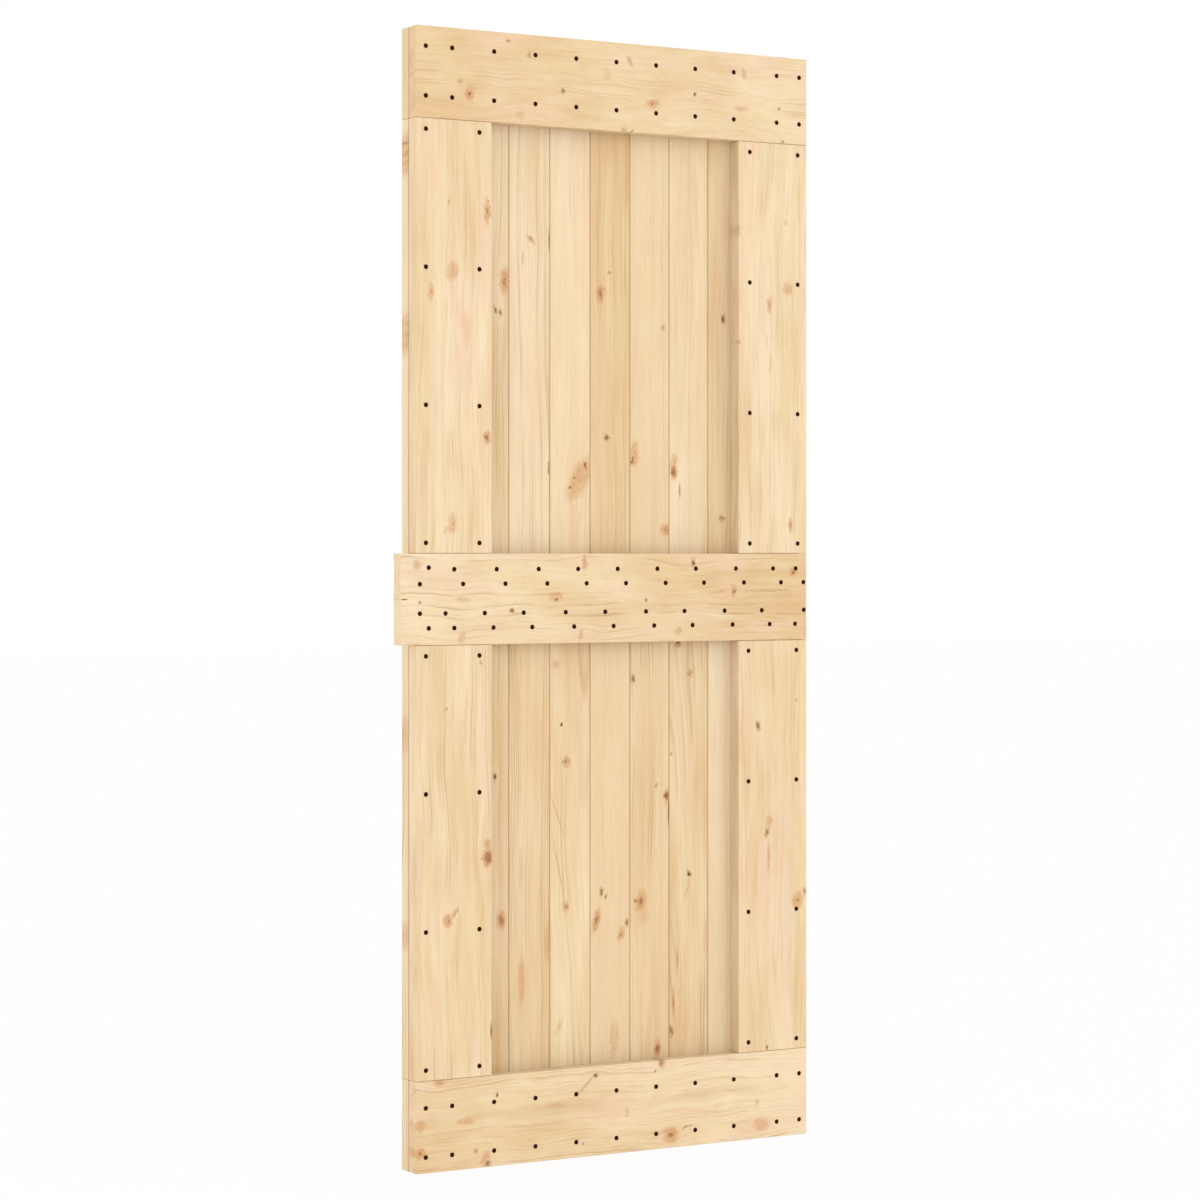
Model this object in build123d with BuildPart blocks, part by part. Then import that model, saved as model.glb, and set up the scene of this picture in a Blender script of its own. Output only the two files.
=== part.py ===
from build123d import *
import os

# Wooden door leaf: planks in two courses behind a frame of three rails and four stiles.
# Millimetres. X runs to the right seen from the front, Y into the door, Z up.
# The origin is the centre of the top rail's front face.

# Leaf and its two layers
door_width = 850.0
door_height = 2100.0
frame_thickness = 30.0
plank_thickness = 30.0

# Frame boards
rail_height = 168.0
stile_width = 156.0
mid_rail_overhang = 31.0
frame_joint_gap = 0.4
frame_easing = 1.2

# Planks: cover width, seam and tongue
plank_cover = 87.0
edge_strip_min = 25.0
plank_seam_gap = 0.6
course_gap = 0.8
plank_chamfer = 1.2
tongue_thickness = 7.0
tongue_length = 7.0
tongue_side_clearance = 0.25
tongue_tip_clearance = 0.9

# Derived places
half_width = door_width / 2
door_top = rail_height / 2
door_bottom = door_top - door_height
door_middle = (door_top + door_bottom) / 2
mid_rail_bottom = door_middle - rail_height / 2
stile_span = (door_height - 3 * rail_height) / 2
plank_mid_y = frame_thickness + plank_thickness / 2
course_length = (door_height - course_gap) / 2
groove_width = tongue_thickness + 2 * tongue_side_clearance
groove_depth = tongue_length + plank_seam_gap + tongue_tip_clearance

# Whole planks lie evenly about the centre line, and a ripped strip fills each side
planks_per_side = int((half_width - edge_strip_min - plank_cover / 2) // plank_cover)
whole_planks = 2 * planks_per_side + 1
plank_field = whole_planks * plank_cover

os.makedirs("parts", exist_ok=True)


def frame_board(name, left, bottom, width, height):
    """A front-layer board with all its edges eased."""
    with BuildPart() as board:
        with BuildSketch(Plane.XZ):
            with Locations((left, bottom)):
                Rectangle(width, height, align=(Align.MIN, Align.MIN))
        extrude(amount=-frame_thickness)
        fillet(board.edges(), radius=frame_easing)
    board.part.label = name
    export_step(board.part, f"parts/{name}.step")


def plank(name, left, right, bottom, length, grooved=True, tongued=True):
    """A back-layer plank between two cover lines: groove to its left, tongue to its right."""
    body_left = left + (plank_seam_gap / 2 if grooved else 0)
    body_right = right - (plank_seam_gap / 2 if tongued else 0)
    with BuildPart() as board:
        with BuildSketch(Plane.XY.offset(bottom)) as profile:
            with Locations((body_left, plank_mid_y)):
                Rectangle(body_right - body_left, plank_thickness, align=(Align.MIN, Align.CENTER))
            chamfer(profile.vertices(), length=plank_chamfer)
            if tongued:
                with Locations((body_right, plank_mid_y)):
                    Rectangle(tongue_length, tongue_thickness, align=(Align.MIN, Align.CENTER))
            if grooved:
                with Locations((body_left, plank_mid_y)):
                    Rectangle(groove_depth, groove_width, align=(Align.MIN, Align.CENTER),
                              mode=Mode.SUBTRACT)
        extrude(amount=length)
    board.part.label = name
    export_step(board.part, f"parts/{name}.step")


# Rails run over the full width, and the mid rail also past the left edge
frame_board("top_rail", -half_width, door_top - rail_height, door_width, rail_height)
frame_board("mid_rail", -half_width - mid_rail_overhang, mid_rail_bottom,
            door_width + mid_rail_overhang, rail_height)
frame_board("bottom_rail", -half_width, door_bottom, door_width, rail_height)

# Stiles stand between the rails, flush with the side edges
stile_bottoms = {"upper": mid_rail_bottom + rail_height, "lower": door_bottom + rail_height}
stile_lefts = {"left": -half_width, "right": half_width - stile_width}
for course, stile_bottom in stile_bottoms.items():
    for side, stile_left in stile_lefts.items():
        frame_board(f"{course}_{side}_stile", stile_left, stile_bottom + frame_joint_gap,
                    stile_width, stile_span - 2 * frame_joint_gap)

# Two plank courses meet behind the mid rail
course_bottoms = {"upper": door_top - course_length, "lower": door_bottom}
for course, course_bottom in course_bottoms.items():
    for number in range(whole_planks):
        plank_left = -plank_field / 2 + number * plank_cover
        plank(f"{course}_plank_{number + 1}", plank_left, plank_left + plank_cover, course_bottom,
              course_length)

# Ripped strips close the sides, cut in line with the joints of rail and stile
end_length = rail_height - course_gap / 2
side_length = course_length - rail_height - course_gap / 2
strip_runs = {
    "top": (door_top - end_length, end_length),
    "upper": (course_bottoms["upper"], side_length),
    "lower": (door_bottom + course_length - side_length, side_length),
    "bottom": (door_bottom, end_length),
}
for run, (run_bottom, run_length) in strip_runs.items():
    plank(f"{run}_left_edge_strip", -half_width, -plank_field / 2, run_bottom, run_length,
          grooved=False)
    plank(f"{run}_right_edge_strip", plank_field / 2, half_width, run_bottom, run_length,
          tongued=False)
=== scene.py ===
import math

import bpy
import numpy as np
from mathutils import Matrix, Vector


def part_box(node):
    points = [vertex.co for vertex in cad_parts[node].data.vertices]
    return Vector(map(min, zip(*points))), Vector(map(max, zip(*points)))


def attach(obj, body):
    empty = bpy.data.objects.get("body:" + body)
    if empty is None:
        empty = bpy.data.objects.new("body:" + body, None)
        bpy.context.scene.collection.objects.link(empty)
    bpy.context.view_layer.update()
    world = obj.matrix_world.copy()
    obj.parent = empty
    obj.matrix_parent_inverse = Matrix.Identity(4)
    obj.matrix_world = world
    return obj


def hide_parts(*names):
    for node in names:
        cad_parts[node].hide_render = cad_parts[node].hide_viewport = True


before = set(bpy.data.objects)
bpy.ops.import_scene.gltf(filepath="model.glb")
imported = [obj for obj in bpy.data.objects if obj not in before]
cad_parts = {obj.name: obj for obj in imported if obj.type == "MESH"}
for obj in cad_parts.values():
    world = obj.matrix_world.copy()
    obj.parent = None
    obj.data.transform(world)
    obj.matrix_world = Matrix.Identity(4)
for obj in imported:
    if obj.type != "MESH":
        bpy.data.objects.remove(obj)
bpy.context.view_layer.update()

mm = 0.001
tiny = 1e-9
crease = math.radians(38)  # edges sharper than this aren't smoothed over
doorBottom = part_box("bottom_rail")[0].z
print("frame loaded:", len(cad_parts), "boards")


# Shader building blocks

def addNode(tree, kind, **settings):
    node = tree.nodes.new(kind)
    for name, value in settings.items():
        setattr(node, name, value)
    return node


def feed(tree, socket, value):
    # a socket is linked, a plain value is set
    if isinstance(value, bpy.types.NodeSocket):
        tree.links.new(value, socket)
    else:
        socket.default_value = value


def calc(tree, operation, *values):
    node = addNode(tree, "ShaderNodeMath", operation=operation)
    for socket, value in zip(node.inputs, values):
        feed(tree, socket, value)
    return node.outputs[0]


def remap(tree, value, low, high, toLow=0.0, toHigh=1.0):
    node = addNode(tree, "ShaderNodeMapRange", interpolation_type="SMOOTHSTEP")
    for socket, part in zip(node.inputs, (value, low, high, toLow, toHigh)):
        feed(tree, socket, part)
    return node.outputs[0]


def vectorOf(tree, x, y, z):
    node = addNode(tree, "ShaderNodeCombineXYZ")
    for socket, value in zip(node.inputs, (x, y, z)):
        feed(tree, socket, value)
    return node.outputs[0]


def partsOf(tree, vector):
    node = addNode(tree, "ShaderNodeSeparateXYZ")
    feed(tree, node.inputs[0], vector)
    return node.outputs


def noise(tree, vector, scale=1.0, detail=2.0, output="Fac"):
    node = addNode(tree, "ShaderNodeTexNoise")
    feed(tree, node.inputs["Vector"], vector)
    feed(tree, node.inputs["Scale"], scale)
    feed(tree, node.inputs["Detail"], detail)
    return node.outputs[output]


def tint(tree, factor, first, second, mode="MIX"):
    node = addNode(tree, "ShaderNodeMix", data_type="RGBA", blend_type=mode)
    feed(tree, node.inputs[0], factor)
    feed(tree, node.inputs[6], first)
    feed(tree, node.inputs[7], second)
    return node.outputs[2]


def newGroup(name, inputs, outputs):
    tree = bpy.data.node_groups.new(name, "ShaderNodeTree")
    for label, start in inputs.items():
        kind = "NodeSocketVector" if start is None else "NodeSocketFloat"
        socket = tree.interface.new_socket(name=label, in_out="INPUT", socket_type=kind)
        if start is not None:
            socket.default_value = start
    for label, kind in outputs.items():
        tree.interface.new_socket(name=label, in_out="OUTPUT", socket_type=kind)
    return tree, addNode(tree, "NodeGroupInput").outputs, addNode(tree, "NodeGroupOutput").inputs


def placeGroup(tree, group, **values):
    node = addNode(tree, "ShaderNodeGroup", node_tree=group)
    for label, value in values.items():
        feed(tree, node.inputs[label], value)
    return node.outputs


def srgb(red, green, blue):
    # screen colour, 0 to 255, to the linear colour that a shader takes
    parts = np.array((red, green, blue)) / 255
    linear = np.where(parts <= 0.04045, parts / 12.92, ((parts + 0.055) / 1.055) ** 2.4)
    return (*linear.tolist(), 1.0)


# Pine: knots first, then the grain that flows round them

# fades start and end at these shares of a radius; the stain's strength is a floor and a share of the
# darkness; bend: how far the grain gives way round a knot, along and across in stain radii, and how much
knotShape = dict(stainFade=(0.55, 1.45), heartFade=(0.4, 1.6), stainFloor=0.3, stainShare=1.5,
                 bendAlong=5.0, bendAcross=2.0, bend=0.85)


def makeKnotGroup(shape):
    # distance = length of (along / stretch, across) after a turn by tilt; the stain and the dark heart
    # fade out over their own radius; grain shift = a bell curve round the knot times the way to its line;
    # the masks pass on the larger value, and the shift the sum, from knot to knot
    tree, given, result = newGroup(
        "pineKnot",
        {"Point": None, "Along": 0.0, "Across": 0.0, "Heart": 0.003, "Stain": 0.006, "Stretch": 1.3,
         "Tilt": 0.0, "Dark": 0.5, "Red": 0.0, "Shift": 0.0, "Stain Mask": 0.0, "Red Mask": 0.0,
         "Heart Mask": 0.0, "Distance": 1.0},
        {"Shift": "NodeSocketFloat", "Stain Mask": "NodeSocketFloat", "Red Mask": "NodeSocketFloat",
         "Heart Mask": "NodeSocketFloat", "Distance": "NodeSocketFloat"})
    parts = partsOf(tree, given["Point"])
    dx = calc(tree, "SUBTRACT", parts[0], given["Along"])
    dy = calc(tree, "SUBTRACT", parts[1], given["Across"])
    cosine = calc(tree, "COSINE", given["Tilt"])
    sine = calc(tree, "SINE", given["Tilt"])
    along = calc(tree, "MULTIPLY_ADD", dx, cosine, calc(tree, "MULTIPLY", dy, sine))
    across = calc(tree, "SUBTRACT", calc(tree, "MULTIPLY", dy, cosine), calc(tree, "MULTIPLY", dx, sine))
    along = calc(tree, "DIVIDE", along, given["Stretch"])
    square = calc(tree, "MULTIPLY_ADD", along, along, calc(tree, "MULTIPLY", across, across))
    distance = calc(tree, "SQRT", square)
    strength = calc(tree, "MULTIPLY_ADD", given["Dark"], shape["stainShare"], shape["stainFloor"])

    def fade(radius, shares, most):
        start, stop = (calc(tree, "MULTIPLY", radius, share) for share in shares)
        return remap(tree, distance, start, stop, most, 0.0)

    stain = fade(given["Stain"], shape["stainFade"], calc(tree, "MINIMUM", strength, 1.0))
    heart = fade(given["Heart"], shape["heartFade"], given["Dark"])
    farX = calc(tree, "DIVIDE", dx, calc(tree, "MULTIPLY", given["Stain"], shape["bendAlong"]))
    farY = calc(tree, "DIVIDE", dy, calc(tree, "MULTIPLY", given["Stain"], shape["bendAcross"]))
    far = calc(tree, "MULTIPLY_ADD", farX, farX, calc(tree, "MULTIPLY", farY, farY))
    bell = calc(tree, "EXPONENT", calc(tree, "MULTIPLY", far, -1.0))
    pull = calc(tree, "MULTIPLY", calc(tree, "MULTIPLY", dy, -shape["bend"]), given["Dark"])
    feed(tree, result["Shift"], calc(tree, "MULTIPLY_ADD", bell, pull, given["Shift"]))
    feed(tree, result["Stain Mask"], calc(tree, "MAXIMUM", given["Stain Mask"], stain))
    feed(tree, result["Red Mask"], calc(tree, "MAXIMUM", given["Red Mask"],
                                        calc(tree, "MULTIPLY", stain, given["Red"])))
    feed(tree, result["Heart Mask"], calc(tree, "MAXIMUM", given["Heart Mask"], heart))
    feed(tree, result["Distance"], calc(tree, "MINIMUM", given["Distance"], distance))
    return tree


# the last two colours are painted shade: the seam colour along the boards' joints, and the multiplier for
# the shade in the frame's recesses
pineColours = dict(
    cream=srgb(250, 228, 191), honey=srgb(226, 186, 132), blush=srgb(247, 213, 180),
    straw=srgb(242, 220, 171), milk=srgb(247, 231, 204), late=srgb(188, 143, 93),
    streak=srgb(222, 179, 129), stain=srgb(203, 166, 119), redStain=srgb(218, 161, 109),
    knotBrown=srgb(154, 121, 75), knotRed=srgb(166, 110, 73), knotDark=srgb(80, 56, 32),
    seam=srgb(146, 108, 69), cornerShade=(0.845, 0.87, 0.915, 1.0))

# waves: noise waves a metre along the grain and across it; start: where the noise begins; detail: octaves;
# fade: from and to on the noise, which swings about zero, and the strength at both
pineLayers = dict(
    slowWander=dict(waves=(2.2, 8.0), start=0.0, detail=1.0),
    quickWander=dict(waves=(8.0, 30.0), start=3.0, detail=1.0),
    broadBands=dict(waves=(2.2, 15.0), start=11.0, detail=2.0),
    narrowBands=dict(waves=(4.0, 60.0), start=13.0, detail=1.0),
    hue=dict(waves=(2.4, 24.0), start=23.0, detail=1.0),
    patches=dict(waves=(4.5, 24.0), start=17.0, detail=1.0, fade=(-0.16, 0.2, 0.1, 1.0)),
    milk=dict(waves=(3.0, 45.0), start=67.0, detail=1.0, fade=(0.08, 0.28, 0.0, 0.35)),
    streak=dict(waves=(5.0, 130.0), start=31.0, detail=2.0, fade=(0.05, 0.3, 0.0, 0.45)),
    fibre=dict(waves=(26.0, 900.0), start=41.0, detail=2.0, fade=(-0.1, 0.35, 0.0, 0.2)),
    mottle=dict(waves=(80.0, 170.0), start=53.0, detail=1.0, fade=(-0.2, 0.2, 0.7, 1.0)),
    fleck=dict(waves=(110.0, 330.0), start=59.0, detail=1.0, fade=(0.11, 0.24, 0.0, 0.55)))
pineGrain = dict(
    seedStep=7.31, slowWander=0.034, quickWander=0.007,  # wander in metres
    unevenWaves=70.0, uneven=3.2,  # rings closer and wider apart, in rings
    lateRise=2.5, lateDrop=0.8,  # power of the rise to late wood, and where on the ring it drops
    lotPower=2.5, lotShare=0.8, lotLeast=0.2,  # few rings are strong and most are weak
    broadBands=1.5, narrowBands=0.8, hueReach=0.22, straw=0.45, leastStain=0.01,
    knotRings=1400.0, knotRingShare=0.12, heartDark=(0.5, 1.0), heartCover=(0.0, 0.75, 0.0, 0.94),
    endSeamShade=(-1.8 * mm, -0.8 * mm), roughness=0.62, fibreRough=0.12, heartSmooth=0.12, fibreHeight=0.5)


def makePineGroup(colours, layers, grain):
    # ring number = distance from the log's heart, with slow wander, over the ring pitch; each ring darkens
    # to its late wood and drops back; broad bands set the tone; knots stain the result, and painted shade
    # along the seams darkens it
    tree, given, result = newGroup(
        "pineGrain",
        {"Point": None, "Shift": 0.0, "Stain Mask": 0.0, "Red Mask": 0.0, "Heart Mask": 0.0,
         "Distance": 1.0, "Seed": 0.0, "Log Across": 0.05, "Log Depth": 0.06, "Log Slant": 0.0,
         "Ring Pitch": 0.004, "Honey": 0.3, "Honey Slope": 0.0, "Lines": 0.6, "Figure": 1.0, "Blush": 0.6,
         "Run": 1.0, "Half Length": 1.0, "Half Width": 0.05, "Half Depth": 0.015, "Front Hold": 0.0,
         "Back Hold": 0.0, "Side Seam Shade": 0.6, "Seam Shade Reach": 0.0018, "End Seam Shade": 0.0},
        {"Color": "NodeSocketColor", "Roughness": "NodeSocketFloat", "Height": "NodeSocketFloat"})
    x, straightY, z = partsOf(tree, given["Point"])
    start = calc(tree, "MULTIPLY", given["Seed"], grain["seedStep"])
    drawn = calc(tree, "MULTIPLY", x, given["Run"])

    def swing(name, y):
        # noise drawn out along the grain, less a half so that it swings about zero
        layer = layers[name]
        lengthwise, crosswise = layer["waves"]
        along = calc(tree, "MULTIPLY_ADD", drawn, lengthwise, calc(tree, "ADD", start, layer["start"]))
        across = calc(tree, "MULTIPLY_ADD", y, crosswise, start)
        point = vectorOf(tree, along, across, calc(tree, "MULTIPLY", z, crosswise))
        return calc(tree, "SUBTRACT", noise(tree, point, 1.0, layer["detail"]), 0.5)

    def share(name, y):
        return remap(tree, swing(name, y), *layers[name]["fade"])

    def both(first, second, y):
        # two layers added, each at its own strength
        return calc(tree, "ADD", calc(tree, "MULTIPLY", swing(first, y), grain[first]),
                    calc(tree, "MULTIPLY", swing(second, y), grain[second]))

    wander = both("slowWander", "quickWander", straightY)
    y = calc(tree, "ADD", calc(tree, "ADD", straightY, given["Shift"]), wander)

    acrossLog = calc(tree, "SUBTRACT", y, given["Log Across"])
    slanted = calc(tree, "MULTIPLY_ADD", x, given["Log Slant"], z)
    behindFace = calc(tree, "SUBTRACT", slanted, given["Log Depth"])
    radius = calc(tree, "SQRT", calc(tree, "MULTIPLY_ADD", acrossLog, acrossLog,
                                     calc(tree, "MULTIPLY", behindFace, behindFace)))
    uneven = noise(tree, vectorOf(tree, calc(tree, "MULTIPLY", radius, grain["unevenWaves"]), start, 0.0))
    even = calc(tree, "DIVIDE", radius, given["Ring Pitch"])
    rings = calc(tree, "MULTIPLY_ADD", uneven, grain["uneven"], even)
    phase = calc(tree, "FRACT", rings)
    late = calc(tree, "MULTIPLY", calc(tree, "POWER", phase, grain["lateRise"]),
                remap(tree, phase, grain["lateDrop"], 1.0, 1.0, 0.0))
    ringLot = addNode(tree, "ShaderNodeTexWhiteNoise", noise_dimensions="1D")
    feed(tree, ringLot.inputs["W"], calc(tree, "ADD", calc(tree, "FLOOR", rings), start))
    lot = calc(tree, "POWER", ringLot.outputs["Value"], grain["lotPower"])
    strength = calc(tree, "MULTIPLY_ADD", lot, grain["lotShare"], grain["lotLeast"])
    late = calc(tree, "MULTIPLY", calc(tree, "MULTIPLY", late, strength),
                calc(tree, "MULTIPLY", share("patches", y), given["Lines"]))

    bands = calc(tree, "MULTIPLY", both("broadBands", "narrowBands", y), given["Figure"])
    tone = calc(tree, "ADD", calc(tree, "MULTIPLY_ADD", x, given["Honey Slope"], given["Honey"]), bands)
    clamped = calc(tree, "MINIMUM", calc(tree, "MAXIMUM", tone, 0.0), 1.0)
    wood = tint(tree, clamped, colours["cream"], colours["honey"])
    hue, hueReach = swing("hue", y), grain["hueReach"]
    wood = tint(tree, remap(tree, hue, 0.0, hueReach, 0.0, given["Blush"]), wood, colours["blush"])
    wood = tint(tree, remap(tree, hue, -hueReach, 0.0, grain["straw"], 0.0), wood, colours["straw"])
    for name in ("milk", "streak"):
        wood = tint(tree, calc(tree, "MULTIPLY", share(name, y), given["Figure"]), wood, colours[name])
    wood = tint(tree, late, wood, colours["late"])
    fibre = swing("fibre", straightY)
    wood = tint(tree, remap(tree, fibre, *layers["fibre"]["fade"]), wood, colours["late"])

    # knots: a mottled stain with faint rings, small flecks, then the heart; redness is a stain's red share
    stain, heart = given["Stain Mask"], given["Heart Mask"]
    redness = calc(tree, "DIVIDE", given["Red Mask"], calc(tree, "MAXIMUM", stain, grain["leastStain"]))
    stainColour = tint(tree, redness, colours["stain"], colours["redStain"])
    brown = tint(tree, redness, colours["knotBrown"], colours["knotRed"])
    wave = calc(tree, "SINE", calc(tree, "MULTIPLY", given["Distance"], grain["knotRings"]))
    ringed = calc(tree, "MULTIPLY_ADD", wave, grain["knotRingShare"], 1 - grain["knotRingShare"])
    mottled = calc(tree, "MULTIPLY", stain, share("mottle", y))
    wood = tint(tree, calc(tree, "MULTIPLY", mottled, ringed), wood, stainColour)
    wood = tint(tree, calc(tree, "MULTIPLY", share("fleck", y), stain), wood, brown)
    knot = tint(tree, remap(tree, heart, *grain["heartDark"]), brown, colours["knotDark"])
    wood = tint(tree, remap(tree, heart, *grain["heartCover"]), wood, knot)

    # seams: painted shade along the boards' joints and eased edges, standing in for the shade in the gaps;
    # the edge distance is how far a point lies in from both of the faces that meet there
    def inFrom(coordinate, half):
        return calc(tree, "SUBTRACT", calc(tree, "ABSOLUTE", coordinate), half)

    frontIn = calc(tree, "SUBTRACT", calc(tree, "MULTIPLY", z, -1.0), given["Half Depth"])
    backIn = calc(tree, "SUBTRACT", z, given["Half Depth"])
    nearFace = calc(tree, "MAXIMUM", calc(tree, "SUBTRACT", backIn, given["Back Hold"]),
                    calc(tree, "SUBTRACT", frontIn, given["Front Hold"]))
    sideIn = calc(tree, "ADD", nearFace, inFrom(straightY, given["Half Width"]))
    endIn = calc(tree, "ADD", frontIn, inFrom(x, given["Half Length"]))
    reach = calc(tree, "MULTIPLY", given["Seam Shade Reach"], -1.0)
    side = calc(tree, "MULTIPLY", remap(tree, sideIn, reach, calc(tree, "MULTIPLY", reach, 0.5)),
                given["Side Seam Shade"])
    end = calc(tree, "MULTIPLY", remap(tree, endIn, *grain["endSeamShade"]), given["End Seam Shade"])
    # painted shade along the seams, where the gaps between boards lie in shade
    wood = tint(tree, calc(tree, "MAXIMUM", side, end), wood, colours["seam"])

    feed(tree, result["Color"], wood)
    rough = calc(tree, "MULTIPLY_ADD", fibre, grain["fibreRough"], grain["roughness"])
    smooth = calc(tree, "MULTIPLY", heart, grain["heartSmooth"])
    feed(tree, result["Roughness"], calc(tree, "SUBTRACT", rough, smooth))
    feed(tree, result["Height"], calc(tree, "MULTIPLY", fibre, grain["fibreHeight"]))
    return tree


# in millimetres; painted shade in the recesses where the panels lie in the frame: it starts at sideLeast on
# the boards' front edge, is full at sideDepth and ends inside the planks
paintedCornerShade = dict(reach=33.0, edgeFade=(-1.0, -0.2), sideDepth=6.0, sideLeast=0.6, plankFade=(3.0, 6.0))


def makePaintedCornerShadeGroup(shape):
    # painted shade where the panels lie in the frame, darkest in the inner corners = 1 less the product of
    # d / sqrt(d^2 + reach^2) across and up, with d the way in from the opening's edge; the openings mirror
    # each other about the door's middle
    tree, given, result = newGroup("paintedCornerShade", {"Point": None, "Reach": shape["reach"] * mm},
                                   {"Shade": "NodeSocketFloat"})
    topRail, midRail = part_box("top_rail"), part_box("mid_rail")
    stile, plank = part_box("upper_left_stile"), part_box("upper_plank_5")
    middle = (midRail[0].z + midRail[1].z) / 2
    rise = (topRail[0].z + midRail[1].z) / 2 - middle
    x, depth, z = partsOf(tree, given["Point"])
    fold = calc(tree, "SUBTRACT", calc(tree, "ABSOLUTE", calc(tree, "SUBTRACT", z, middle)), rise)
    insideX = calc(tree, "SUBTRACT", -stile[1].x, calc(tree, "ABSOLUTE", x))
    insideZ = calc(tree, "SUBTRACT", (topRail[0].z - midRail[1].z) / 2, calc(tree, "ABSOLUTE", fold))

    def openness(inside):
        inside = calc(tree, "MAXIMUM", inside, 0.0)
        reachSquare = calc(tree, "MULTIPLY", given["Reach"], given["Reach"])
        square = calc(tree, "MULTIPLY_ADD", inside, inside, reachSquare)
        return calc(tree, "DIVIDE", inside, calc(tree, "SQRT", square))

    shade = calc(tree, "SUBTRACT", 1.0, calc(tree, "MULTIPLY", openness(insideX), openness(insideZ)))
    within = remap(tree, calc(tree, "MINIMUM", insideX, insideZ), *(way * mm for way in shape["edgeFade"]))
    below = remap(tree, depth, stile[0].y, stile[0].y + shape["sideDepth"] * mm, shape["sideLeast"], 1.0)
    ahead = remap(tree, depth, *(plank[0].y + way * mm for way in shape["plankFade"]), 1.0, 0.0)
    seen = calc(tree, "MULTIPLY", calc(tree, "MULTIPLY", below, ahead), within)
    feed(tree, result["Shade"], calc(tree, "MULTIPLY", shade, seen))
    return tree


knotGroup = makeKnotGroup(knotShape)
pineGroup = makePineGroup(pineColours, pineLayers, pineGrain)
paintedCornerShadeGroup = makePaintedCornerShadeGroup(paintedCornerShade)


# One entry a board. log: where the log's heart lies, across and behind the face; pitch: ring spacing;
# honey: tone from pale to deep, slope: its change a metre along the grain; slant: lean of the log;
# lines and figure: strength of the ring lines and of the bands.
# knots: place across the door from its centre line, height above its foot, radius of the dark heart and
# of the stain, stretch along the grain, tilt in degrees, darkness from 0 to 1. Lengths in millimetres.

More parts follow.
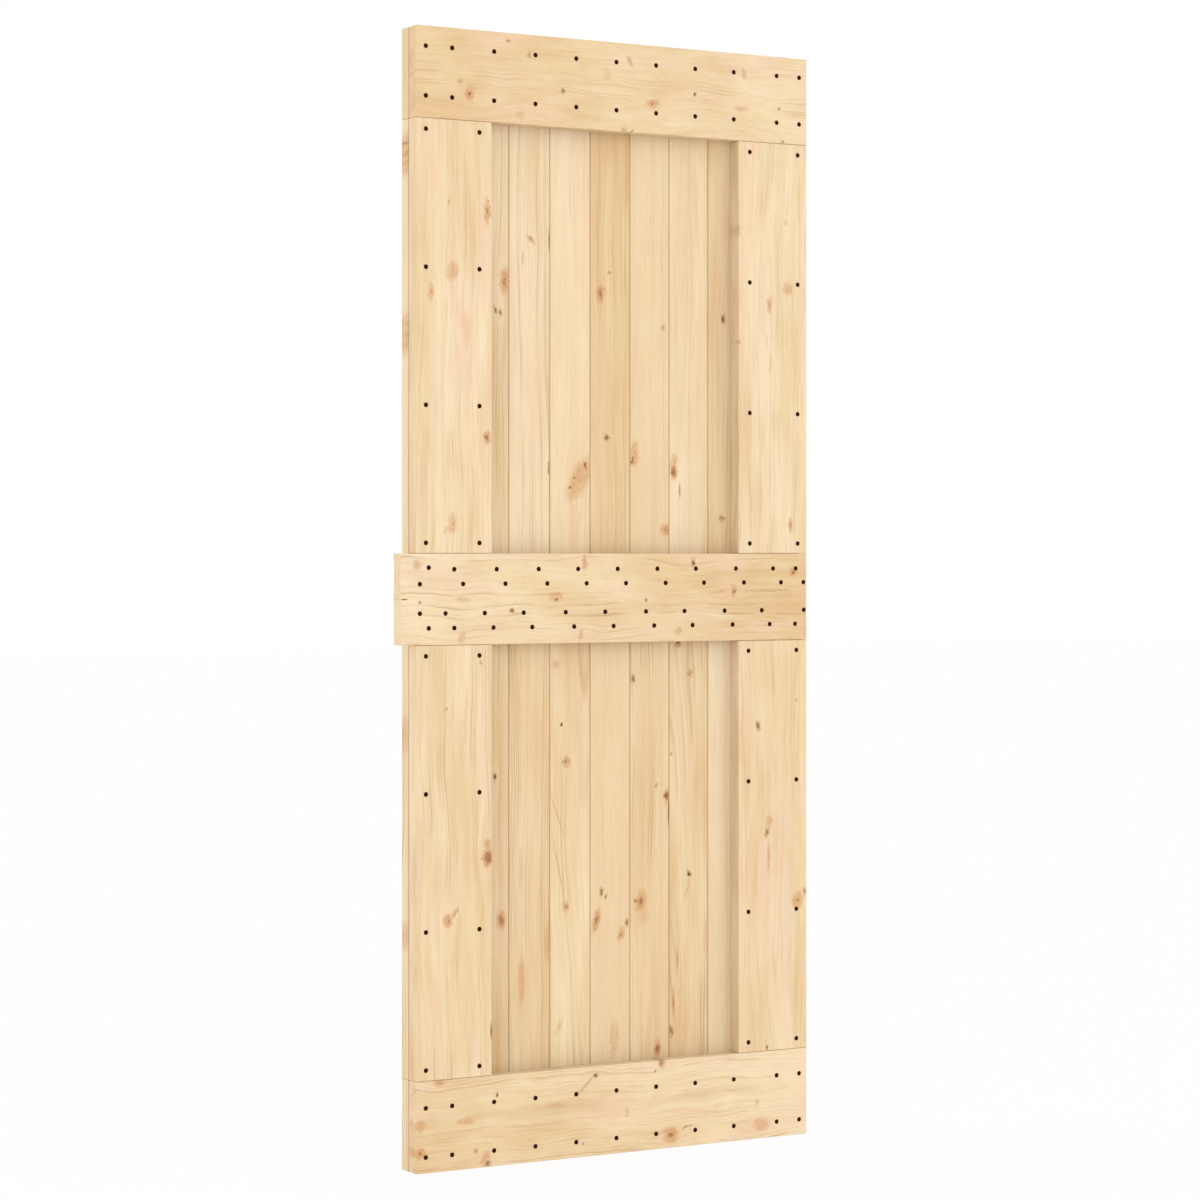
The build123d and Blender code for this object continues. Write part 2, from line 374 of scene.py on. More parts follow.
boards = {
    "top_rail": dict(seed=1, log=(-140, 60), pitch=9, honey=0.47, slope=-0.6, figure=0.7, lines=0.9,
        knots=[(-315, 1981, 4.4, 14, 0.6, 0, 0.66), (-335, 2002, 1.8, 5, 1, 0, 0.36),
               (-235, 2085, 1.8, 4, 1.2, 0, 0.45), (-191, 2062, 2.2, 6, 0.8, 0, 0.45),
               (-118, 1999, 3, 5, 1, 0, 0.66), (-210, 1949, 1, 7, 1.2, 0, 0.1),
               (-24, 2038, 1, 9, 1, 0, 0.04), (26, 2067, 1.8, 10, 0.5, 25, 0.38),
               (170, 2016, 3.4, 5, 0.9, 0, 0.82), (77, 1990, 2.2, 6.5, 2.2, 0, 0.4),
               (275, 1993, 1, 6, 2.6, 0, 0.2), (361, 1999, 2, 3, 1.2, 0, 0.42),
               (281, 2061, 1.6, 10, 0.5, 25, 0.3), (31, 1933, 2.4, 3.5, 1.2, 0, 0.34),
               (13, 1937, 2, 5, 1.2, 0, 0.25), (370, 1936, 2, 4, 1.2, 0, 0.36)]),
    "mid_rail": dict(seed=2, log=(40, 70), pitch=6, honey=0.39, slope=0.8, figure=0.7, lines=1.2,
        knots=[(-423, 1115, 1.5, 9, 0.8, 0, 0.32), (-133, 1053, 1, 9, 1.4, 0, 0.3),
               (-132, 1046, 3, 4, 1, 0, 0.62), (-331, 1050, 1, 5, 3.2, 0, 0.2),
               (-417, 1044, 2, 3, 1.4, 0, 0.5), (-227, 1027, 2.8, 5, 0.9, 0, 0.62),
               (-331, 980, 1, 11, 0.6, -20, 0.22), (-80, 981, 1, 9, 0.65, 0, 0.3),
               (-72, 1118, 1.6, 14, 0.4, 0, 0.38), (166, 1118, 5.5, 9, 0.7, 0, 0.84),
               (394, 1098, 3.6, 9, 1, 0, 0.6), (258, 1062, 3.6, 12, 0.5, 0, 0.72),
               (61, 1046, 2.6, 4.5, 0.7, 0, 0.62), (132, 984, 1, 6, 1.2, 0, 0.32),
               (-449, 1050, 1, 1, 6, 0, 0.95)]),
    "bottom_rail": dict(seed=3, log=(10, 55), pitch=6.5, honey=0.22, slope=-0.7, figure=0.8, lines=1.3,
        knots=[(-258, 131, 2.5, 5, 0.5, 0, 0.75), (-49, 152, 3.2, 6, 1, 0, 0.74),
               (-323, 89, 1, 6.5, 2.6, 0, 0.22), (-69, 135, 1.4, 3, 8, 45, 0.22),
               (152, 38, 1.2, 2.5, 5, 8, 0.35), (-417, 88, 1, 10, 1, 0, 0.3), (-417, 37, 3, 11, 1, 0, 0.5),
               (-282, 17, 1, 14, 0.6, -20, 0.3), (-278, 5, 3, 6, 1.4, 0, 0.65),
               (-302, 32, 2.2, 5, 1, 0, 0.48), (-76, 24, 1.8, 2.5, 1, 0, 0.42),
               (-136, 103, 1, 5, 4, 0, 0.15), (97, 163, 4.6, 9, 0.9, 0, 0.5), (81, 149, 1.8, 3, 1, 0, 0.4),
               (116, 24, 4.5, 16, 1, 0, 0.55), (320, 26, 1, 13, 1.3, 0, 0.28), (311, 71, 1, 7, 0.7, 0, 0.2),
               (20, 76, 1, 9, 0.35, 0, 0.1), (-376, 163, 2, 6, 2, 0, 0.42)]),
    "upper_left_stile": dict(seed=4, log=(-110, 50), pitch=8, slant=0.03, honey=0.3,
        knots=[(-279, 1767, 2.2, 6.5, 3.6, 0, 0.5), (-358, 1779, 1.5, 3, 2, 0, 0.25),
               (-350, 1653, 1.5, 11, 1.5, 20, 0.26), (-395, 1613, 1.5, 6, 2.8, 0, 0.32),
               (-279, 1348, 2.8, 6.5, 2, 0, 0.54), (-323, 1548, 1, 9, 3.6, 0, 0),
               (-350, 1188, 2.2, 9, 1.8, 0, 0.32), (-364, 1178, 1.4, 4, 1.6, 0, 0.12)]),
    "upper_right_stile": dict(seed=5, log=(110, 50), pitch=8, slant=-0.03, honey=0.18,
        knots=[(377, 1778, 1.5, 4, 1.5, 0, 0.15), (270, 1760, 0.5, 3.5, 3.4, 0, 0.1),
               (380, 1650, 1.5, 11, 1.3, 15, 0.28), (340, 1617, 1.5, 5, 3.2, 0, 0.32),
               (272, 1543, 1, 3.5, 1.5, 0, 0.22), (340, 1502, 1, 4, 5, 0, 0.06),
               (387, 1190, 1.5, 4.5, 3, 0, 0.42)]),
    "lower_left_stile": dict(seed=6, log=(120, 45), pitch=8, slant=0.025, honey=0.28,
        knots=[(-364, 847, 2, 4, 1.5, 0, 0.3), (-278, 571, 9, 11, 1.4, 0, 0.55),
               (-278, 595, 1, 7, 1.6, 0, 0.42), (-294, 931, 1.5, 4, 1.5, 0, 0.3),
               (-360, 459, 2.5, 10, 1.2, 0, 0.5), (-346, 473, 1.5, 5, 2, 25, 0.5),
               (-270, 251, 1.6, 3, 6, 0, 0.8)]),
    "lower_right_stile": dict(seed=7, log=(-120, 45), pitch=8, slant=-0.025, honey=0.3,
        knots=[(313, 800, 3.2, 5.5, 1.8, 0, 0.7), (333, 593, 2.2, 5, 2.4, 0, 0.58),
               (402, 850, 1.5, 3, 1.4, 0, 0.35), (405, 458, 2.5, 12, 1.4, 10, 0.42),
               (421, 474, 2.6, 6, 1.5, 0, 0.45), (337, 545, 1, 3.5, 8, 0, 0.3),
               (333, 176, 2.4, 4, 1.8, 0, 0.6), (338, 612, 1, 7, 1.6, 0, 0.3)]),
}


# rimPush: waves a metre and reach in millimetres of the noise that makes a knot's rim uneven, coarse and
# fine; longMark: a knot drawn out more than this stays straight; red grows with a knot's size past
# redFrom; lines and figure: for boards that name none; bumpDepth in millimetres
pineFinish = dict(rimPush=((60.0, 7.0), (190.0, 6.0)), longMark=5, redFrom=6.5, redRange=3.5, lines=0.8,
                  figure=1.0, bump=0.25, bumpDepth=0.2, specular=0.2)


def unevenRims(tree, point, pushes):
    # the point plus its noise, less a half, times the reach, for each push in turn
    pushed = point
    for waves, reach in pushes:
        lessHalf = addNode(tree, "ShaderNodeVectorMath", operation="SUBTRACT")
        feed(tree, lessHalf.inputs[0], noise(tree, point, waves, 0.0, "Color"))
        lessHalf.inputs[1].default_value = (0.5, 0.5, 0.5)
        push = addNode(tree, "ShaderNodeVectorMath", operation="MULTIPLY_ADD")
        feed(tree, push.inputs[0], lessHalf.outputs[0])
        push.inputs[1].default_value = (reach * mm, reach * mm, reach * mm)
        feed(tree, push.inputs[2], pushed)
        pushed = push.outputs[0]
    return pushed


def placeKnots(tree, knots, upright, centre, point, finish):
    # each knot hands its shift and its masks on to the next
    pushed = unevenRims(tree, point, finish["rimPush"])
    chain = {}
    for across, height, heart, stain, stretch, tilt, dark in knots:
        spot = (across * mm - centre.x, doorBottom + height * mm - centre.z)
        along, over = spot[::-1] if upright else spot
        red = (stain * math.sqrt(stretch) - finish["redFrom"]) / finish["redRange"]
        values = {"Point": point if stretch > finish["longMark"] else pushed, "Along": along,
                  "Across": over, "Heart": heart * mm, "Stain": stain * mm, "Stretch": stretch,
                  "Tilt": math.radians(tilt), "Dark": dark, "Red": min(max(red, 0.0), 1.0)}
        placed = placeGroup(tree, knotGroup, **values, **chain)
        chain = {label: placed[label]
                 for label in ("Shift", "Stain Mask", "Red Mask", "Heart Mask", "Distance")}
    return chain


def makePine(name, board, upright, centre, half, look, finish):
    # the board's own axes: x along the grain, y across it, z through the thickness
    material = bpy.data.materials.new(name)
    material.use_nodes = True
    tree = material.node_tree
    shader = tree.nodes["Principled BSDF"]
    rows = ((0, 1, 0), (0, 0, 1), (1, 0, 0)) if upright else ((1, 0, 0), (0, 0, -1), (0, 1, 0))
    place = addNode(tree, "ShaderNodeTexCoord").outputs["Object"]
    mapping = addNode(tree, "ShaderNodeMapping", vector_type="TEXTURE")
    mapping.inputs["Location"].default_value = centre
    mapping.inputs["Rotation"].default_value = Matrix(rows).to_euler()
    feed(tree, mapping.inputs["Vector"], place)
    point = mapping.outputs[0]
    knots = placeKnots(tree, board["knots"], upright, centre, point, finish)
    values = {"Point": point, "Seed": board["seed"], "Log Across": board["log"][0] * mm,
              "Log Depth": board["log"][1] * mm, "Log Slant": board.get("slant", 0.0),
              "Ring Pitch": board["pitch"] * mm, "Honey": board["honey"],
              "Honey Slope": board.get("slope", 0.0), "Lines": board.get("lines", finish["lines"]),
              "Figure": board.get("figure", finish["figure"]), "Half Length": half[0],
              "Half Width": half[1], "Half Depth": half[2]}
    pine = placeGroup(tree, pineGroup, **values, **look, **knots)
    cornerShade = placeGroup(tree, paintedCornerShadeGroup, Point=place)
    bump = addNode(tree, "ShaderNodeBump")
    bump.inputs["Strength"].default_value = finish["bump"]
    bump.inputs["Distance"].default_value = finish["bumpDepth"] * mm
    feed(tree, bump.inputs["Height"], pine["Height"])
    # painted shade: the pine darkens towards the frame's inner corners and on its reveal faces
    colour = tint(tree, cornerShade["Shade"], pine["Color"], pineColours["cornerShade"], "MULTIPLY")
    feed(tree, shader.inputs["Base Color"], colour)
    feed(tree, shader.inputs["Roughness"], pine["Roughness"])
    feed(tree, shader.inputs["Normal"], bump.outputs[0])
    shader.inputs["Specular IOR Level"].default_value = finish["specular"]
    return material


# Screws sit in countersunk holes. Millimetres; rings are shares of the head's radius, each with its sink,
# and turn spreads the crosses over all directions by their place.

screw = dict(headRadius=4.35, headSink=0.5, holeRadius=4.6, holeDepth=2.4, holeTaper=0.3, rimDepth=0.3,
             rimSoft=0.3, slotHalf=0.6, slotReach=2.6, slotDepth=1.2, spokes=20, turn=(977.0, 613.0),
             rings=(0.005, 0.13, 0.32, 0.47, 0.7, 0.9, 0.97, 1.0, 0.95),
             ringSink=(0, 0, 0, 0, 0, 0, 0.05, 0.3, 1.7), colour=(58, 29, 3), roughness=0.6, specular=0.06)

# rows and columns: places across the door from its centre line, and up from its foot
plankRow = dict(first=-264, pitch=87, count=7)
stileColumn = dict(pitch=252.6, count=4, upperFoot=1153.5, lowerFoot=188)
midStep = dict(second=18.3, foot=18.1)  # how far the screws of a pair of rows stand apart
plankPlaces = [plankRow["first"] + plankRow["pitch"] * number for number in range(plankRow["count"])]
railRow = [-405, -351, *plankPlaces, 356, 408]
midTop = [-399, -346.6, -258.5, -170.2, -85.9, -0.4, 86.8, 172.4, 262.8, 347.8, 400.1]
midSecond = [-417, *(place + midStep["second"] for place in midTop[1:-1]), 418]
midThird = [-417, -364.6, -283.4, -201.9, -112.6, -27.3, 61.7, 147, 237.2, 321.9, 418.9]
midFoot = [-399, *(place + midStep["foot"] for place in midThird[1:-1]), 398.7]


def rowScrews(rows):
    return [(across, height) for height, places in rows for across in places]


def stileScrews(columns, foot):
    heights = [stileColumn[foot] + stileColumn["pitch"] * step for step in range(stileColumn["count"])]
    return [(across, height) for across in columns for height in heights]


screwPlaces = {
    "top_rail": rowScrews([(2063, railRow), (1972, railRow)]),
    "mid_rail": rowScrews([(1108, midTop[:1]), (1105, midTop[1:]), (1078, midSecond), (1024, midThird),
                           (997, midFoot)]),
    "bottom_rail": rowScrews([(119, railRow), (29, railRow)]),
    "upper_left_stile": stileScrews((-404.7, -294.5), "upperFoot"),
    "upper_right_stile": stileScrews((294.5, 404.7), "upperFoot"),
    "lower_left_stile": stileScrews((-404.7, -294.5), "lowerFoot"),
    "lower_right_stile": stileScrews((291.5, 401.7), "lowerFoot"),
}


def screwCentres(node):
    return np.array([(across * mm, doorBottom + height * mm) for across, height in screwPlaces[node]])


def makeMesh(name, points, faces, material):
    mesh = bpy.data.meshes.new(name)
    mesh.from_pydata(points, [], faces)
    mesh.polygons.foreach_set("use_smooth", np.ones(len(mesh.polygons), bool))
    mesh.set_sharp_from_angle(angle=crease)
    mesh.materials.append(material)
    piece = bpy.data.objects.new(name, mesh)
    bpy.context.scene.collection.objects.link(piece)
    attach(piece, "root")
    return piece


def gridFaces(rows, columns):
    # quads between neighbouring grid lines; the last column joins the first
    row, column = np.meshgrid(np.arange(rows - 1), np.arange(columns), indexing="ij")
    after = (column + 1) % columns
    corners = (row * columns + column, row * columns + after, (row + 1) * columns + after,
               (row + 1) * columns + column)
    return np.stack(corners, -1).reshape(-1, 4)


# millimetres; hold: a line that keeps the flat beside an eased edge; patch: half the square of grid lines
# round a screw, with holeRings as shares of the hole; lineGap: lines closer than this are one
# stileLook and railLook: the seam values set the painted shade along the boards' edges and ends
frameBoard = dict(easing=1.2, hold=0.9, roundSteps=4, patch=8.6, holeRings=(0.35, 0.67), lineGap=0.08,
                  stileLook={"Front Hold": 1.0, "Side Seam Shade": 0.2, "Run": 1.4, "End Seam Shade": 0.3},
                  railLook={"Side Seam Shade": 0.0, "Run": 2.6})


def boardLines(low, high, places, shape):
    # grid lines along one side: the flat between the eased edges, and the lines round each screw
    inset = np.array((shape["easing"], shape["easing"] + shape["hold"])) * mm
    hole = screw["holeRadius"]
    inner = [share * hole for share in shape["holeRings"]]
    outer = [hole - screw["holeTaper"], hole, hole + screw["rimSoft"], shape["patch"]]
    ring = np.array(inner + outer) * mm
    ring = np.concatenate((-ring[::-1], (0.0,), ring))
    lines = np.concatenate((low + inset, high - inset, (np.array(places)[:, None] + ring).ravel()))
    lines = lines[(lines > low + inset[0] - tiny) & (lines < high - inset[0] + tiny)]
    lines = np.unique(np.round(lines, 6))  # to a thousandth of a millimetre
    return lines[np.concatenate(((True,), np.diff(lines) > shape["lineGap"] * mm))]


def boardProfile(flat, low, high, front, back, shape):
    # closed outline across the grain: front flat, then round and edge, round and back, round and edge
    easing, hold = shape["easing"] * mm, shape["hold"] * mm
    turn = np.linspace(0, math.pi / 2, shape["roundSteps"] + 1)[1:-1]
    sine, cosine = easing * np.sin(turn), easing * np.cos(turn)
    edge = np.array((front + easing, front + easing + hold, back - easing - hold, back - easing))
    ends = (low + easing, high - easing)
    across = np.concatenate((flat, ends[1] + sine, np.full(len(edge), high), ends[1] + cosine, ends[::-1],
                             ends[0] - sine, np.full(len(edge), low), ends[0] - cosine))
    deep = np.concatenate((np.full(len(flat), front), front + easing - cosine, edge, back - easing + sine,
                           np.full(len(ends), back), back - easing + cosine, edge[::-1],
                           front + easing - sine))
    return across, deep


def sinkScrews(along, across, deep, onFront, holes, limits, shape):
    # inside a patch the square ring lines turn to circles, and depth follows the hole's profile;
    # a patch near an edge stops at the flat's end
    rim = screw["holeRadius"] * mm
    profileAt = np.array((0, rim - screw["holeTaper"] * mm, rim, rim + screw["rimSoft"] * mm))
    profileDepth = np.array((screw["holeDepth"], screw["holeDepth"], screw["rimDepth"], 0)) * mm
    for hole in holes:
        reach = min(shape["patch"] * mm, *(hole - limits[0]), *(limits[1] - hole))
        du, dv = along - hole[0], across - hole[1]
        ring = np.maximum(abs(du), abs(dv))
        inside = onFront & (ring < reach - tiny)
        share = np.clip((ring - rim) / (reach - rim), 0, 1)
        factor = share + (1 - share) * ring / np.maximum(np.hypot(du, dv), tiny)
        along = np.where(inside, hole[0] + du * factor, along)
        across = np.where(inside, hole[1] + dv * factor, across)
        deep = np.where(inside, deep + np.interp(ring, profileAt, profileDepth), deep)
    return along, across, deep


def makeFrameBoard(node, shape):
    # a rounded-rectangle profile carried along the grain, set in by the easing's arc at both ends
    low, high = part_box(node)
    upright = node.endswith("stile")
    centre = (low + high) / 2
    holes = screwCentres(node)
    start, stop = ((low.z, low.x), (high.z, high.x)) if upright else ((low.x, low.z), (high.x, high.z))
    holes = holes[:, ::-1] if upright else holes
    flatAlong = boardLines(start[0], stop[0], holes[:, 0], shape)
    flatAcross = boardLines(start[1], stop[1], holes[:, 1], shape)
    across, deep = boardProfile(flatAcross, start[1], stop[1], low.y, high.y, shape)
    arc = np.linspace(0, math.pi / 2, shape["roundSteps"] + 1)[1:]
    setIn = shape["easing"] * mm * (1 - np.cos(arc))
    out = shape["easing"] * mm * np.sin(arc)
    along = np.concatenate((flatAlong[0] - out[::-1], flatAlong, flatAlong[-1] + out))
    inset = np.concatenate((setIn[::-1], np.zeros(len(flatAlong)), setIn))[:, None]
    half = ((stop[0] - start[0]) / 2, (stop[1] - start[1]) / 2, (high.y - low.y) / 2)
    midAcross = (stop[1] + start[1]) / 2
    gridAlong = np.repeat(along[:, None], len(across), 1)
    gridAcross = midAcross + (across - midAcross)[None, :] * (1 - inset / half[1])
    gridDeep = centre.y + (deep - centre.y)[None, :] * (1 - inset / half[2])
    onFront = np.zeros_like(gridDeep, bool)
    onFront[len(out):-len(out), :len(flatAcross)] = True
    limits = np.array(((flatAlong[0], flatAcross[0]), (flatAlong[-1], flatAcross[-1])))
    grid = sinkScrews(gridAlong, gridAcross, gridDeep, onFront, holes, limits, shape)
    order = (grid[1], grid[2], grid[0]) if upright else (grid[0], grid[2], grid[1])
    faces = gridFaces(len(along), len(across))
    last = (len(along) - 1) * len(across)
    caps = [list(range(len(across)))[::-1], list(range(last, last + len(across)))]
    faces = faces.tolist() + caps
    if not upright:
        faces = [face[::-1] for face in faces]
    look = shape["stileLook" if upright else "railLook"]
    material = makePine(node + "Pine", boards[node], upright, centre, half, look, pineFinish)
    piece = makeMesh(node + "_board", np.stack(order, -1).reshape(-1, 3), faces, material)
    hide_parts(node)


for node in screwPlaces:
    makeFrameBoard(node, frameBoard)
print("frame boards made:", len(screwPlaces))


# Planks keep their solids and take a pine of their own

# look and stripLook: the seam values set the painted shade along the planks' joints and the strips' layer
# line
plankBoard = dict(tongue=7.0, look={"Side Seam Shade": 0.25, "Blush": 0.25},
                  stripLook={"Back Hold": 1.0, "Side Seam Shade": 0.55, "Seam Shade Reach": 3.2 * mm, "Blush": 0.25})
planks = {
    "top_left_edge_strip": dict(seed=18, log=(60, 50), pitch=5, honey=0.65, knots=[]),
    "upper_left_edge_strip": dict(seed=20, log=(60, 50), pitch=5, honey=0.02,
        knots=[(-425, 1868, 1, 12, 3, 0, 0.4), (-425, 1888, 2, 5, 1.6, 0, 0.36),
               (-425, 1537, 1, 10, 3.6, 0, 0.3)]),
    "lower_left_edge_strip": dict(seed=40, log=(60, 50), pitch=5, honey=0.25,
        knots=[(-425, 800, 0.5, 5, 6, 0, 0.15), (-425, 430, 0.5, 5, 5, 0, 0.2)]),
    "bottom_left_edge_strip": dict(seed=38, log=(60, 50), pitch=5, honey=0.35, knots=[]),
    "upper_plank_1": dict(seed=21, log=(30, 45), pitch=5, honey=0.3,
        knots=[(-350, 1500, 5, 10, 1.4, 0, 0.65), (-365, 1880, 4, 8, 1.4, 0, 0.5),
               (-335, 1190, 3, 6, 1.6, 0, 0.6)]),
    "upper_plank_2": dict(seed=22, log=(-40, 50), pitch=5, honey=0.36, lines=1.1,
        knots=[(-226, 1642, 3, 10, 2.5, 0, 0.5), (-246, 1588, 2, 3.5, 2.2, -10, 0.6),
               (-236, 1582, 2.6, 4.5, 2, 15, 0.6)]),
    "upper_plank_3": dict(seed=23, log=(70, 40), pitch=5.4, honey=0.12, figure=0.8,
        knots=[(-171, 1722, 1.6, 4.5, 2.4, -50, 0.4), (-188, 1686, 1, 3, 6, 0, 0.1),
               (-132, 1296, 2, 3.5, 4, 0, 0.5), (-132, 1722, 1.4, 2.5, 9, 0, 0.45)]),
    "upper_plank_4": dict(seed=24, log=(-15, 45), pitch=5, honey=0.17, figure=0.6, lines=0.6,
        knots=[(-67, 1273, 1, 18, 2.4, 28, 0.38), (-54, 1300, 2.8, 4, 2, 10, 0.75),
               (-70, 1290, 1.5, 3, 1.6, 30, 0.45), (-77, 1276, 1.6, 3, 1.6, 20, 0.45),
               (-87, 1257, 2.8, 4, 1.6, 30, 0.7), (-78, 1185, 0.5, 13, 4, 0, 0)]),
    "upper_plank_5": dict(seed=25, log=(60, 45), pitch=5, honey=0.74, slope=0.45, figure=0.5, lines=1.4,
        knots=[(-21, 1627, 4.2, 9, 2, 0, 0.54), (-8, 1353, 3.6, 6, 1.3, 0, 0.74),
               (-2, 1668, 1.5, 3, 1.4, 0, 0.4)]),
    "upper_plank_6": dict(seed=26, log=(-50, 55), pitch=5, honey=0.34, figure=0.4, lines=0.5,
        knots=[(118, 1566, 2, 4, 1.5, 0, 0.48), (54, 1326, 1, 8, 3.2, 0, 0.36),
               (49, 1313, 2.8, 4, 2.4, 0, 0.68), (121, 1179, 2.6, 9, 1.2, 0, 0.48)]),
    "upper_plank_7": dict(seed=27, log=(20, 40), pitch=5, honey=0.27, figure=0.6, lines=0.6,
        knots=[(140, 1292, 5, 9, 1.7, 0, 0.6), (141, 1312, 1, 8, 1.7, 0, 0.3),
               (154, 1254, 1.4, 2.5, 6, 0, 0.45)]),
    "upper_plank_8": dict(seed=28, log=(-60, 50), pitch=5, honey=0.55, figure=0.7, lines=1.1,
        knots=[(253, 1587, 3.2, 5.5, 2, 0, 0.72), (250, 1201, 2.8, 8, 0.8, 0, 0.45)]),
    "upper_plank_9": dict(seed=29, log=(40, 60), pitch=5, honey=0.3,
        knots=[(350, 1700, 5, 11, 1.3, 0, 0.6), (335, 1320, 3, 7, 1.5, 0, 0.5)]),
    "lower_plank_1": dict(seed=41, log=(35, 45), pitch=5, honey=0.3,
        knots=[(-340, 620, 5, 10, 1.4, 0, 0.6), (-360, 260, 3, 7, 1.4, 0, 0.6)]),
    "lower_plank_2": dict(seed=42, log=(45, 50), pitch=4.6, honey=0.48, lines=1.2,
        knots=[(-247, 718, 3.2, 5, 1.7, 0, 0.75), (-233, 450, 4.2, 9, 1.8, 0, 0.52)]),
    "lower_plank_3": dict(seed=43, log=(-70, 30), pitch=4.6, honey=0.46, figure=0.9, lines=1.5,
        knots=[(-193, 543, 1, 5, 8, 0, 0.08), (-190, 338, 1, 7, 6, 0, 0.3),
               (-135, 404, 1, 5.5, 6, 0, 0.22)]),
    "lower_plank_4": dict(seed=44, log=(30, 30), pitch=5.4, slant=0.03, honey=0.36, figure=0.8,
        knots=[(-106, 813, 2.8, 3, 1.3, 0, 1), (-96, 741, 2.6, 8, 1.2, 0, 0.6),
               (-119, 925, 1, 8, 1, 0, 0.15), (-96, 469, 2.6, 8, 1.2, 0, 0.6),
               (-110, 245, 1, 5, 3, 30, 0.1), (-116, 645, 1.2, 2, 22, -20, 0.15),
               (-113, 547, 1.2, 2, 28, -12, 0.15)]),
    "lower_plank_5": dict(seed=45, log=(-40, 60), pitch=5.4, honey=0.4, figure=0.25, lines=0.3,
        knots=[(-20, 491, 2.4, 4, 2.4, 10, 0.62), (-10, 484, 2.2, 3, 2, 0, 0.6),
               (-31, 439, 3.6, 8, 3, 12, 0.5), (36, 431, 3, 4.5, 1.8, 15, 0.6),
               (24, 411, 2, 6, 2.2, 20, 0.45), (9, 212, 1, 10, 3.4, 0, 0.15)]),
    "lower_plank_6": dict(seed=46, log=(75, 40), pitch=4.6, honey=0.42, figure=0.7, lines=1.2,
        knots=[(49, 896, 3, 4.5, 1.9, 0, 0.66), (124, 669, 4.6, 8, 1.6, 0, 0.7),
               (102, 691, 1.8, 4, 1.4, 0, 0.4), (129, 638, 1.4, 2, 16, 0, 0.65),
               (67, 471, 4, 12, 1.6, 12, 0.56), (54, 472, 2.6, 3, 1.4, 0, 0.6),
               (72, 448, 1, 12, 1.8, 0, 0.08), (105, 187, 3.5, 7, 2.6, 0, 0.62)]),
    "lower_plank_7": dict(seed=47, log=(-55, 38), pitch=5.6, slant=-0.05, honey=0.54, lines=1.6,
        knots=[(177, 903, 2.4, 8, 0.75, 0, 0.5), (151, 961, 4, 7, 1.2, 0, 0.62),
               (134, 751, 1.5, 2.5, 1.3, 0, 0.28), (174, 518, 3.4, 5, 1.3, 0, 0.85),
               (170, 488, 1, 4, 5, 10, 0.15), (149, 354, 1.2, 2.5, 11, 0, 0.35),
               (140, 273, 1.3, 3, 10, 0, 0.46), (134, 216, 2.8, 6, 2.2, 0, 0.6),
               (212, 400, 1, 5, 8, 0, 0.1)]),
    "lower_plank_8": dict(seed=48, log=(70, 50), pitch=5.4, honey=0.15, figure=0.5, lines=0.3, knots=[]),
    "lower_plank_9": dict(seed=49, log=(-35, 55), pitch=5, honey=0.3,
        knots=[(345, 540, 5, 10, 1.4, 0, 0.6)]),
    "top_right_edge_strip": dict(seed=31, log=(50, 50), pitch=5, honey=0.35, knots=[]),
    "upper_right_edge_strip": dict(seed=30, log=(50, 50), pitch=5, honey=0.25,
        knots=[(425, 1420, 0.5, 5, 5, 0, 0.1)]),
    "lower_right_edge_strip": dict(seed=50, log=(50, 50), pitch=5, honey=0.3,
        knots=[(425, 690, 0.5, 5, 5, 0, 0.1)]),
    "bottom_right_edge_strip": dict(seed=51, log=(50, 50), pitch=5, honey=0.35, knots=[]),
}


def dressPlank(node, board, shape):
    # the pine is centred on the plank without its tongue
    low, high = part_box(node)
    if "right_edge" not in node:
        high.x -= shape["tongue"] * mm
    size = (high - low) / 2
    look = shape["stripLook" if "strip" in node else "look"]
    material = makePine(node + "Pine", board, True, (low + high) / 2, (size.z, size.x, size.y), look,
                        pineFinish)
    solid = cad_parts[node]
    solid.data.materials.clear()
    solid.data.materials.append(material)


for node, plank in planks.items():
    dressPlank(node, plank, plankBoard)
print("planks dressed:", len(planks))


# Screw heads: a flat disc with a cross recess, a rounded rim and a cone below

def makeScrewFinish(shape):
    material = bpy.data.materials.new("blackScrew")
    material.use_nodes = True
    shader = material.node_tree.nodes["Principled BSDF"]
    shader.inputs["Base Color"].default_value = srgb(*shape["colour"])
    shader.inputs["Roughness"].default_value = shape["roughness"]
    shader.inputs["Specular IOR Level"].default_value = shape["specular"]
    return material


screwFinish = makeScrewFinish(screw)


def makeScrews(node, shape):
    # polar grid of rings and spokes; depth at a point = its ring's sink, and the recess where an arm of
    # the cross covers it; a face closes the middle and another the underside
    places = screwCentres(node)
    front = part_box(node)[0].y + shape["headSink"] * mm
    spokes = shape["spokes"]
    ring = np.array(shape["rings"]) * shape["headRadius"] * mm
    sink = np.array(shape["ringSink"]) * mm
    angle = np.linspace(0, 2 * math.pi, spokes, endpoint=False)[None, :]
    turn = (places[:, 0] * shape["turn"][0] + places[:, 1] * shape["turn"][1])[:, None, None]
    spoke = angle + turn
    localX, localZ = ring[:, None] * np.cos(angle), ring[:, None] * np.sin(angle)
    half, reach = shape["slotHalf"] * mm, shape["slotReach"] * mm
    arm = ((abs(localX) < half) & (abs(localZ) < reach)) | ((abs(localZ) < half) & (abs(localX) < reach))
    depth = np.repeat(sink[:, None], spokes, 1) + arm * shape["slotDepth"] * mm
    x = places[:, 0, None, None] + ring[None, :, None] * np.cos(spoke)
    z = places[:, 1, None, None] + ring[None, :, None] * np.sin(spoke)
    y = np.broadcast_to(front + depth[None], x.shape)
    points = np.stack((x, y, z), -1).reshape(-1, 3)
    faces = gridFaces(len(ring), spokes)[:, ::-1]
    size = len(ring) * spokes
    starts = [number * size for number in range(len(places))]
    faces = np.concatenate([faces + start for start in starts]).tolist()
    faces += [list(range(start, start + spokes)) for start in starts]
    faces += [list(range(start + size - spokes, start + size))[::-1] for start in starts]
    makeMesh(node + "_screws", points, faces, screwFinish)


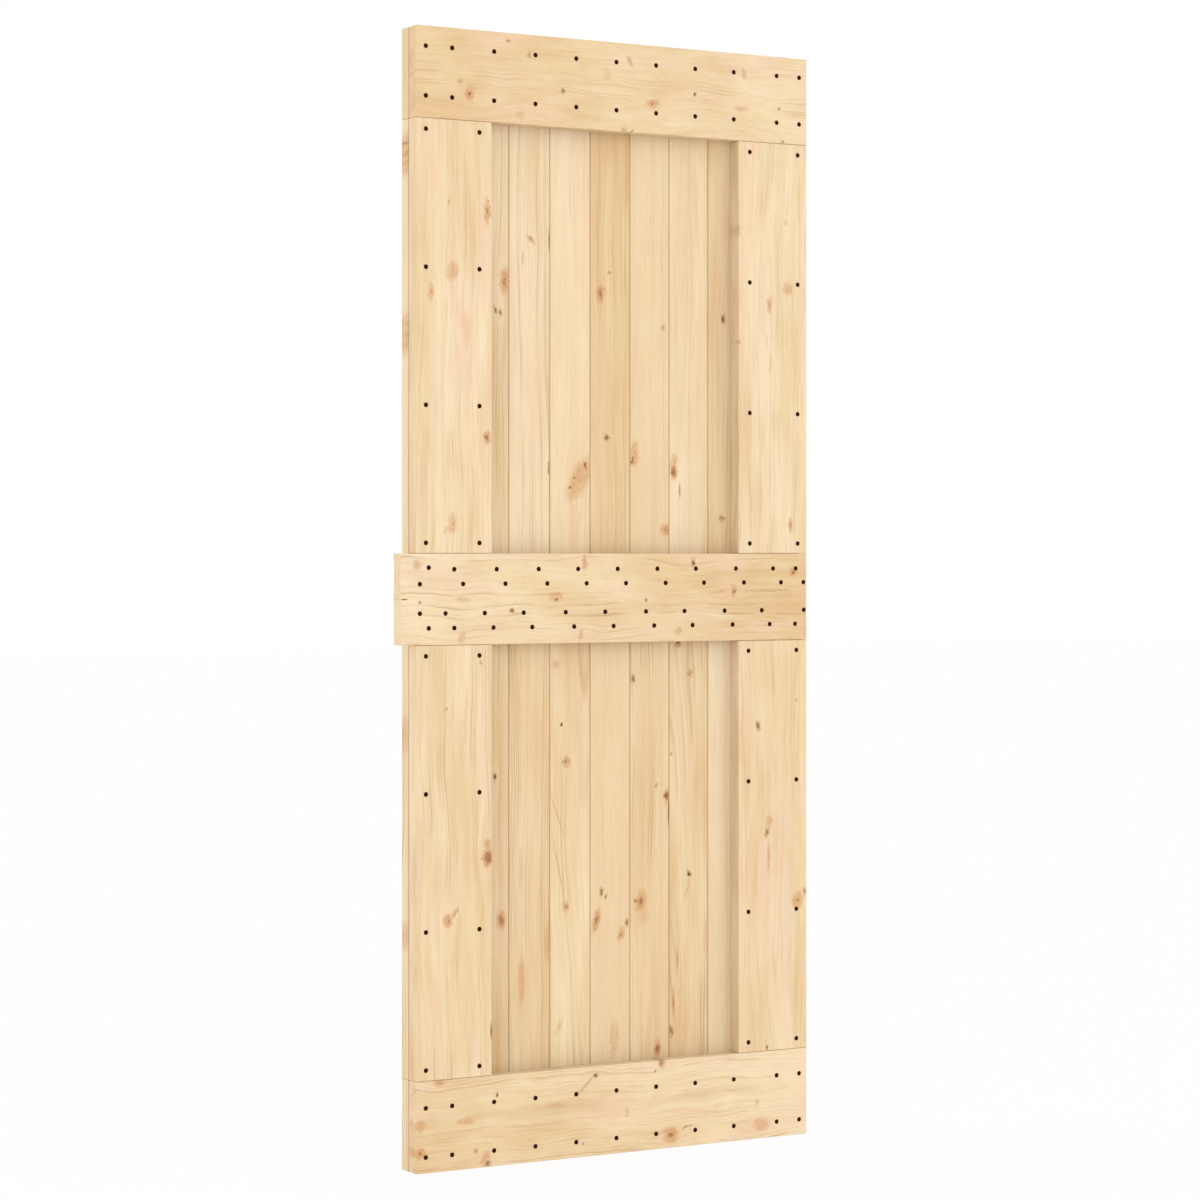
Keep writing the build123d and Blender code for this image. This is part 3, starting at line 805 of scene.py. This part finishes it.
for node in screwPlaces:
    makeScrews(node, screw)
print("screws set:", sum(len(places) for places in screwPlaces.values()))


# Studio: pale floor, white surround, one broad soft lamp

studio = dict(floorSide=60.0, floorTone=0.95, floorRough=0.9, floorGlow=0.9, worldLevel=0.98,
              lampSide=4.0, lampPower=45.0, lampPlace=(-2.5, -7.0, 1.2), lampAim=(0.0, 0.0, -0.95))


def seenDirectly(tree):
    # 1 for rays from the camera, from mirrors and through glass
    path = addNode(tree, "ShaderNodeLightPath").outputs
    reflected = calc(tree, "MAXIMUM", path["Is Glossy Ray"], path["Is Transmission Ray"])
    return calc(tree, "MAXIMUM", path["Is Camera Ray"], reflected)


def makeFloor():
    side = studio["floorSide"] / 2
    mesh = bpy.data.meshes.new("floor")
    mesh.from_pydata([(-side, -side, doorBottom), (side, -side, doorBottom), (side, side, doorBottom),
                      (-side, side, doorBottom)], [], [(0, 1, 2, 3)])
    material = bpy.data.materials.new("paleFloor")
    material.use_nodes = True
    tree = material.node_tree
    shader = tree.nodes["Principled BSDF"]
    shader.inputs["Base Color"].default_value = (studio["floorTone"],) * 3 + (1.0,)
    shader.inputs["Roughness"].default_value = studio["floorRough"]
    glow = addNode(tree, "ShaderNodeEmission")
    mixed = addNode(tree, "ShaderNodeMixShader")
    feed(tree, mixed.inputs[0], calc(tree, "MULTIPLY", seenDirectly(tree), studio["floorGlow"]))
    feed(tree, mixed.inputs[1], shader.outputs[0])
    feed(tree, mixed.inputs[2], glow.outputs[0])
    feed(tree, tree.nodes["Material Output"].inputs["Surface"], mixed.outputs[0])
    mesh.materials.append(material)
    floor = bpy.data.objects.new("floor", mesh)
    bpy.context.scene.collection.objects.link(floor)


def makeWorld():
    world = bpy.data.worlds.new("studio")
    bpy.context.scene.world = world
    world.use_nodes = True
    tree = world.node_tree
    background = tree.nodes["Background"]
    strength = remap(tree, seenDirectly(tree), 0.0, 1.0, studio["worldLevel"], 1.0)
    feed(tree, background.inputs["Strength"], strength)
    background.inputs["Color"].default_value = (1.0, 1.0, 1.0, 1.0)


def makeLamp():
    lamp = bpy.data.lights.new("softLamp", "AREA")
    lamp.shape = "SQUARE"
    lamp.size = studio["lampSide"]
    lamp.energy = studio["lampPower"]
    holder = bpy.data.objects.new("softLamp", lamp)
    place = Vector(studio["lampPlace"])
    holder.location = place
    holder.rotation_euler = (Vector(studio["lampAim"]) - place).to_track_quat("-Z", "Y").to_euler()
    bpy.context.scene.collection.objects.link(holder)


camera = dict(place=(-3.046, -5.308), eyeHeight=1.1337, aim=(0.4929, 0.8701, 0.0), lens=97.1, sensor=36.0,
              shiftY=-0.0386)


def makeCamera():
    lens = bpy.data.cameras.new("camera")
    lens.sensor_width = camera["sensor"]
    lens.lens = camera["lens"]
    lens.shift_y = camera["shiftY"]
    holder = bpy.data.objects.new("camera", lens)
    holder.location = (*camera["place"], doorBottom + camera["eyeHeight"])
    holder.rotation_euler = Vector(camera["aim"]).to_track_quat("-Z", "Y").to_euler()
    bpy.context.scene.collection.objects.link(holder)
    bpy.context.scene.camera = holder


makeFloor()
makeWorld()
makeLamp()
makeCamera()
bpy.context.scene.view_settings.view_transform = "Standard"
print("studio ready")
